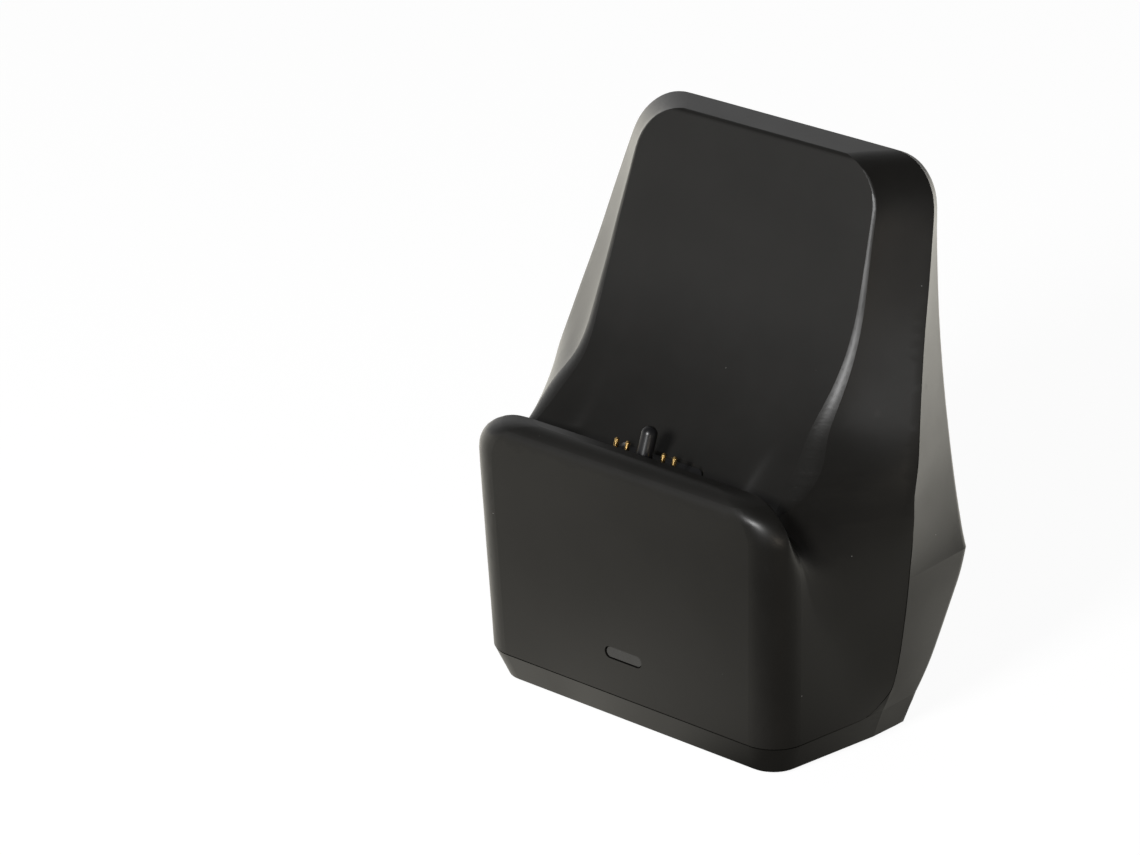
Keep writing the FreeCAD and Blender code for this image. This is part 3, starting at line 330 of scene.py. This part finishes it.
# Wings, by height: the depth in which they go from those ends to the ridge at the parting line, and how far
# the ridge goes outward and forward. A small start makes them leave the ends sooner.
WING_LENGTH = ((56, 24.0), (66, 19.0), (76, 14.0), (90, 11.0), (122, 9.0))
WING_START = 0.15
RIDGE_OUT = ((40, 0.0), (57, 0.0), (62, 1.1), (66, 1.2), (98, 1.4), (110, 1.2), (122, 0.8))
RIDGE_AHEAD = ((40, 0.0), (52, 0.2), (62, 0.6), (77, 0.7), (98, 0.4), (122, 0.2))
# Back, by height: how far it goes outward
BACK_OUT = ((0, 1.0), (8, 1.8), (14, 2.5), (35, 2.7), (40, 1.7), (50, 1.4), (112, 1.4), (122, 1.0))
# Side view: the parting line's upright part and slope, and the back above and below its kink
RIDGE_Y = 6.1
RIDGE_BEND = 53.5
RIDGE_SLOPE = 0.293
BACK_Y = 28.6
KINK_HEIGHT = 39.0
KINK_SLOPE = 0.28
# Middle that isn't moved: half its width and the width of the blend beside it, each at the screw bosses and
# above them, and the heights between which they change
FIXED_HALF = (32.0, 19.0)
BLEND_WIDTH = (6.0, 18.0)
BOSS_SPAN = (24.0, 40.0)
# Rear corner of the skirt: its reach in width plus depth at its top, how that grows upwards, the share kept
# of what stands out beyond it, and the heights above the top in which the cut ends
SKIRT_TOP = 7.5
CORNER_REACH = 61.1
CORNER_RISE = 0.52
CORNER_KEPT = 0.15
CORNER_FADE = (0.1, 1.1)
# Steps in height over which a profile's corners are softened, and the step that slopes are measured with
SOFTEN = (-3.0, -1.5, 0.0, 1.5, 3.0)
SLOPE_STEP = 0.05
LONGEST_EDGE = 3.0
SPLIT_ROUNDS = 6
KEPT_NORMAL = "kept_normal"


def amount(profile, heights):
    """Amounts of a profile at these heights, with its corners softened."""
    marks, values = zip(*profile)
    return np.mean([np.interp(heights + step, marks, values) for step in SOFTEN], axis=0)


def lip_drawn_in(heights, radius):
    """How far a rounding of this radius has drawn in the lip's edge at these heights."""
    rise = np.clip(heights - (LIP_HEIGHT - radius), 0.0, radius)
    return radius - np.sqrt(radius ** 2 - rise ** 2)


def ease(values, low, high):
    """Goes smoothly from 0 at low to 1 at high."""
    share = np.clip((values - low) / (high - low), 0.0, 1.0)
    return share * share * (3 - 2 * share)


def between(pair, share):
    first, second = pair
    return first + (second - first) * share


def reshaped(points):
    """Where points of the shells go. The middle, which holds the fittings, stays as it is."""
    x, y, z = points.T
    ridge = RIDGE_Y + np.maximum(0.0, z - RIDGE_BEND) * RIDGE_SLOPE
    back = BACK_Y - np.maximum(0.0, KINK_HEIGHT - z) * KINK_SLOPE
    above_bosses = ease(z, *BOSS_SPAN)
    fixed = between(FIXED_HALF, above_bosses)
    outer = ease(np.abs(x), fixed, fixed + between(BLEND_WIDTH, above_bosses))

    blend_start, blend_end = LIP_BLEND
    crease = LIP_BACK_Y + blend_end + np.maximum(0.0, CREASE_TOP - z) * CREASE_SLOPE
    behind_lip = ease(y, LIP_BACK_Y + blend_start, crease)
    lip_in = LIP_END_SPREAD * lip_drawn_in(z, LIP_END_ROUND)
    ends_in = lip_in * (1 - behind_lip) + amount(REST_ENDS_IN, z) * behind_lip

    run = np.clip((y - ridge) / amount(WING_LENGTH, z) + 1, 0.0, 1.0)
    on_wing = run * run * (1 + WING_START) / (run + WING_START)
    on_back = np.clip((y - ridge) / (back - ridge), 0.0, 1.0)
    front = -ends_in * (1 - on_wing) + amount(RIDGE_OUT, z) * on_wing
    outward = front * (1 - on_back) + amount(BACK_OUT, z) * on_back
    ahead = amount(RIDGE_AHEAD, z) * on_wing * (1 - on_back)
    curled = amount(REST_ENDS_AHEAD, z) * ease(np.abs(x), *CURL_SPAN) * behind_lip * (1 - on_wing)
    rounder = lip_drawn_in(z, LIP_FRONT_ROUND) - lip_drawn_in(z, LIP_CAD_ROUND)
    rounder = rounder * (1 - ease(y, LIP_FRONT_Y, LIP_BACK_Y))
    wide = np.abs(x) + outward * outer
    deep = y - ahead * outer + rounder - curled

    above_skirt = z - SKIRT_TOP
    beyond = np.maximum(0.0, wide + deep - CORNER_REACH - above_skirt * CORNER_RISE)
    cut = beyond * (1 - CORNER_KEPT) / 2 * (1 - ease(above_skirt, *CORNER_FADE))
    return np.stack([np.sign(x) * (wide - cut), deep - cut, z], axis=1)


def reshaped_normals(points, normals):
    """Normals that go with the moved points, from the slopes of the move."""
    rows = [(reshaped(points + offset) - reshaped(points - offset)) / (2 * SLOPE_STEP)
            for offset in np.eye(3) * SLOPE_STEP]
    slopes = np.stack(rows, axis=2)
    turned = np.einsum("nij,nj->ni", np.linalg.inv(slopes).transpose(0, 2, 1), normals)
    return turned / np.linalg.norm(turned, axis=1, keepdims=True)


def refine(mesh):
    """Splits long edges, so that the sides can bend between them, and keeps each corner's normal."""
    kept = mesh.attributes.new(KEPT_NORMAL, "FLOAT_VECTOR", "CORNER")
    kept.data.foreach_set("vector", np.array([corner.vector for corner in mesh.corner_normals]).ravel())
    work = bmesh.new()
    work.from_mesh(mesh)
    for _ in range(SPLIT_ROUNDS):
        long = [edge for edge in work.edges if edge.calc_length() > LONGEST_EDGE * MM]
        bmesh.ops.subdivide_edges(work, edges=long, cuts=1)
        bmesh.ops.triangulate(work, faces=work.faces[:])
    work.to_mesh(mesh)
    work.free()


def shell_form(node):
    """Stands for a shell: the same surfaces with the sides moved to the photograph's outline."""
    mesh = NODES[node].data.copy()
    refine(mesh)
    points = np.zeros(len(mesh.vertices) * 3)
    mesh.vertices.foreach_get("co", points)
    points = points.reshape(-1, 3) / MM
    normals = np.zeros(len(mesh.loops) * 3)
    mesh.attributes[KEPT_NORMAL].data.foreach_get("vector", normals)
    normals = normals.reshape(-1, 3)
    places = points[[loop.vertex_index for loop in mesh.loops]]
    mesh.attributes.remove(mesh.attributes[KEPT_NORMAL])
    mesh.vertices.foreach_set("co", (reshaped(points) * MM).ravel())
    mesh.normals_split_custom_set(reshaped_normals(places, normals).tolist())
    thing = placed(f"{node}_form", mesh)
    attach(thing, "stand")
    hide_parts(node)


shell_form("front_cover")
shell_form("rear_shell")


# Springs of the pressed pins, each a copy of its mesh

def spring_coil(joint):
    """Stands for a pin's spring with a copy of its mesh on the pin's parent body; the real spring shortens by
    the pin's travel towards its lower end.
    """
    node = joint["deforming_nodes"][0]["node"]
    mesh = NODES[node].data.copy()
    thing = placed(f"{node}_coil", mesh)
    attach(thing, joint["parent"])
    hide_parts(node)
    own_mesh(thing)


for pressed in frame["record"]["behaviour"]["joints"]:
    spring_coil(pressed)


# Stage: pale floor, soft light and the camera of the photograph. A span gives a direction's reach along an
# axis where a change of light starts and ends. Lengths are in metres.

# Sky: its strength low and high, its share on the side away from the light, and what is added behind
SKY_LOW = 0.6
SKY_HIGH = 0.12
SKY_HEIGHT_SPAN = (0.0, 0.55)
SKY_LIT = (-0.8, -0.6, 0.0)
SKY_FAR_SIDE = 0.25
SKY_SIDE_SPAN = (-0.4, 0.6)
SKY_BEHIND = 0.35
SKY_BEHIND_SPAN = (0.3, 0.9)
UPWARD = (0.0, 0.0, 1.0)
# Floor: its light at the front right, where it is darkest, and beside that, what is added towards the back
# left in two steps, and what is added close to the front
SWEEP_LIT = (-0.6, 0.8, 0.0)
SWEEP_DARK = 0.06
SWEEP_FRONT = 0.42
SWEEP_FRONT_SPAN = (-0.95, -0.3)
SWEEP_BACK = 0.95
SWEEP_BACK_SPAN = (-0.15, 0.55)
SWEEP_FAR_LEFT = 0.8
SWEEP_FAR_LEFT_SPAN = (0.5, 0.95)
SWEEP_AHEAD = (-0.1, -0.99, 0.0)
SWEEP_AHEAD_SPAN = (0.5, 0.9)
SWEEP_NEAR = 0.5
SWEEP_NEAR_REACH = (0.045, 0.09)
SWEEP_TINT = (1.0, 0.97, 0.88)
FLOOR_REACH = 3.0
FLOOR_COLOUR = (0.95, 0.95, 0.95)
FLOOR_ROUGH = 0.9
# What the camera sees of the floor: the share that takes shadow, and the strength of the rest
FLOOR_SHADE = 0.14
FLOOR_SEEN = 1.1
LAMPS = {
    "key": {"place": (0.16, -0.84, 0.46), "target": (0.0, 0.0, 0.06), "width": 0.2, "height": 0.2,
            "power": 6.5, "colour": WHITE},
    "warm_side": {"place": (0.8, -0.55, 0.05), "target": (0.04, 0.0, 0.06), "width": 0.2, "height": 0.1,
                  "power": 0.6, "colour": (1.0, 0.88, 0.74)},
}
# Camera fitted to the photograph: its place, the directions to its right and behind it, and its focal length
# in pixels of the photograph's width
CAMERA_PLACE = (0.6287, -0.7407, 0.4534)
CAMERA_RIGHT = (0.7431, 0.6691, 0.0)
CAMERA_BACK = (0.6204, -0.6890, 0.3746)
FOCAL_PIXELS = 5020.0
PHOTO_WIDTH = 1140.0
SENSOR_WIDTH = 36.0
CAMERA_REACH = 20.0


def floor():
    """White sweep: it shows white with a trace of shadow, and lights the stand most from behind."""
    mesh = bpy.data.meshes.new("floor")
    corners = [(x * FLOOR_REACH, y * FLOOR_REACH, 0.0) for x, y in ((-1, -1), (1, -1), (1, 1), (-1, 1))]
    mesh.from_pydata(corners, [], [(0, 1, 2, 3)])
    thing = placed("floor", mesh)
    made = Shader("floor")
    made.set(Base_Color=FLOOR_COLOUR, Roughness=FLOOR_ROUGH, Specular_IOR_Level=0.0)
    toward = made.vector("NORMALIZE", "Vector", made.place)
    near = made.spread(made.vector("LENGTH", "Value", made.place), SWEEP_NEAR_REACH, (SWEEP_NEAR, 0.0))
    near = made.math("MULTIPLY", near, made.along(toward, SWEEP_AHEAD, SWEEP_AHEAD_SPAN, (0.0, 1.0)))
    lit = made.along(toward, SWEEP_LIT, SWEEP_FRONT_SPAN, (SWEEP_DARK, SWEEP_FRONT))
    for more in (made.along(toward, SWEEP_LIT, SWEEP_BACK_SPAN, (0.0, SWEEP_BACK)),
                 made.along(toward, SWEEP_LIT, SWEEP_FAR_LEFT_SPAN, (0.0, SWEEP_FAR_LEFT)), near):
        lit = made.math("ADD", lit, more)
    seen = made.add("ShaderNodeLightPath").outputs["Is Camera Ray"]
    glow = made.add("ShaderNodeEmission")
    made.feed(glow.inputs["Strength"], made.mix(seen, lit, FLOOR_SEEN, kind="FLOAT"))
    made.feed(glow.inputs["Color"], made.mix(seen, SWEEP_TINT, WHITE))
    blend = made.add("ShaderNodeMixShader")
    made.feed(blend.inputs["Fac"], made.math("ADD", made.math("MULTIPLY", seen, -FLOOR_SHADE), 1.0))
    made.feed(blend.inputs[1], made.surface.outputs["BSDF"])
    made.feed(blend.inputs[2], glow.outputs["Emission"])
    made.feed(made.tree.nodes["Material Output"].inputs["Surface"], blend.outputs["Shader"])
    mesh.materials.append(made.material)


def softbox(name, place, target, width, height, power, colour):
    """Rectangular lamp turned towards a point."""
    data = bpy.data.lights.new(name, "AREA")
    data.shape = "RECTANGLE"
    data.size = width
    data.size_y = height
    data.energy = power
    data.color = colour
    thing = placed(name, data)
    thing.location = place
    thing.rotation_mode = "QUATERNION"
    thing.rotation_quaternion = (Vector(target) - Vector(place)).to_track_quat("-Z", "Y")


def surround():
    """White to the camera, a graded grey for light and reflections."""
    world = bpy.data.worlds.new("surround")
    bpy.context.scene.world = world
    world.use_nodes = True
    made = NodeTree(world.node_tree)
    made.tree.nodes.clear()
    toward = made.add("ShaderNodeTexCoord").outputs["Generated"]
    low = made.along(toward, UPWARD, SKY_HEIGHT_SPAN, (SKY_LOW, SKY_HIGH))
    side = made.along(toward, SKY_LIT, SKY_SIDE_SPAN, (SKY_FAR_SIDE, 1.0))
    behind = made.along(toward, SWEEP_LIT, SKY_BEHIND_SPAN, (0.0, SKY_BEHIND))
    fill = made.add("ShaderNodeBackground")
    made.feed(fill.inputs["Color"], WHITE)
    made.feed(fill.inputs["Strength"], made.math("MULTIPLY_ADD", low, side, behind))
    seen = made.add("ShaderNodeBackground")
    made.feed(seen.inputs["Color"], WHITE)
    choose = made.add("ShaderNodeMixShader")
    made.feed(choose.inputs["Fac"], made.add("ShaderNodeLightPath").outputs["Is Camera Ray"])
    made.feed(choose.inputs[1], fill.outputs["Background"])
    made.feed(choose.inputs[2], seen.outputs["Background"])
    made.feed(made.add("ShaderNodeOutputWorld").inputs["Surface"], choose.outputs["Shader"])


def camera():
    """The photograph's camera."""
    data = bpy.data.cameras.new("photo_camera")
    data.sensor_width = SENSOR_WIDTH
    data.lens = SENSOR_WIDTH * FOCAL_PIXELS / PHOTO_WIDTH
    data.clip_end = CAMERA_REACH
    thing = placed("photo_camera", data)
    right = Vector(CAMERA_RIGHT).normalized()
    back = Vector(CAMERA_BACK).normalized()
    turn = Matrix((right, back.cross(right), back)).transposed().to_4x4()
    thing.matrix_world = Matrix.Translation(CAMERA_PLACE) @ turn
    bpy.context.scene.camera = thing


floor()
for lamp, settings in LAMPS.items():
    softbox(lamp, **settings)
surround()
camera()
bpy.context.scene.view_settings.view_transform = "Standard"
